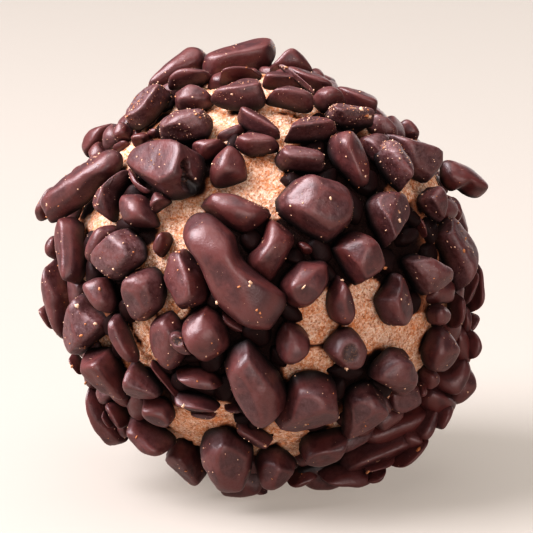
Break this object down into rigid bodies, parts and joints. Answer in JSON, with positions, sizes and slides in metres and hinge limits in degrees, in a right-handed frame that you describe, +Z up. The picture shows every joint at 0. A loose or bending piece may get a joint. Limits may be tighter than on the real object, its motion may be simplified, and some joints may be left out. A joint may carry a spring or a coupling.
{
  "type": "marzipan praline",
  "caption": "Hand-rolled marzipan ball covered all round in broken dark chocolate nibs, standing on the flats of its lowest nibs.",
  "frame": {"origin": "on the ground, under the middle of the praline's bounding box", "axes": "+Z up; -Y towards the front, the side with the long boot-shaped nib; +X to the right as seen from the front"},
  "size_m": [0.0348, 0.037, 0.0355],
  "materials": {
    "marzipan": "matte, finely grained almond paste with crumbs",
    "dark_chocolate": "satin, softly rounded, dusted with marzipan crumbs"
  },
  "bodies": {
    "root": {"marzipan_ball": "marzipan", "nib_arrow": "dark_chocolate", "nib_boot": "dark_chocolate", "nib_box": "dark_chocolate", "nib_club": "dark_chocolate", "nib_collar": "dark_chocolate", "nib_curl": "dark_chocolate", "nib_disc": "dark_chocolate", "nib_dusty_block": "dark_chocolate", "nib_far_01": "dark_chocolate", "nib_far_02": "dark_chocolate", "nib_far_03": "dark_chocolate", "nib_far_04": "dark_chocolate", "nib_far_05": "dark_chocolate", "nib_far_06": "dark_chocolate", "nib_far_07": "dark_chocolate", "nib_far_08": "dark_chocolate", "nib_far_09": "dark_chocolate", "nib_far_10": "dark_chocolate", "nib_far_11": "dark_chocolate", "nib_far_12": "dark_chocolate", "nib_far_13": "dark_chocolate", "nib_far_14": "dark_chocolate", "nib_far_15": "dark_chocolate", "nib_far_16": "dark_chocolate", "nib_fin": "dark_chocolate", "nib_flat_dusty": "dark_chocolate", "nib_foot_1": "dark_chocolate", "nib_foot_2": "dark_chocolate", "nib_foot_3": "dark_chocolate", "nib_foot_4": "dark_chocolate", "nib_heel": "dark_chocolate", "nib_high_slab": "dark_chocolate", "nib_hourglass": "dark_chocolate", "nib_knob": "dark_chocolate", "nib_leaner": "dark_chocolate", "nib_left_dusty": "dark_chocolate", "nib_left_edge": "dark_chocolate", "nib_left_low": "dark_chocolate", "nib_left_tall": "dark_chocolate", "nib_lid": "dark_chocolate", "nib_long_left": "dark_chocolate", "nib_long_low": "dark_chocolate", "nib_low_disc": "dark_chocolate", "nib_oblong": "dark_chocolate", "nib_pentagon": "dark_chocolate", "nib_plough": "dark_chocolate", "nib_right_edge": "dark_chocolate", "nib_right_low": "dark_chocolate", "nib_right_pebble": "dark_chocolate", "nib_right_slab": "dark_chocolate", "nib_rod": "dark_chocolate", "nib_roof": "dark_chocolate", "nib_shoulder": "dark_chocolate", "nib_spur": "dark_chocolate", "nib_tall_pebble": "dark_chocolate", "nib_toe": "dark_chocolate", "nib_tooth": "dark_chocolate", "nib_trapezoid": "dark_chocolate", "nib_wedge": "dark_chocolate"}
  },
  "joints": []
}
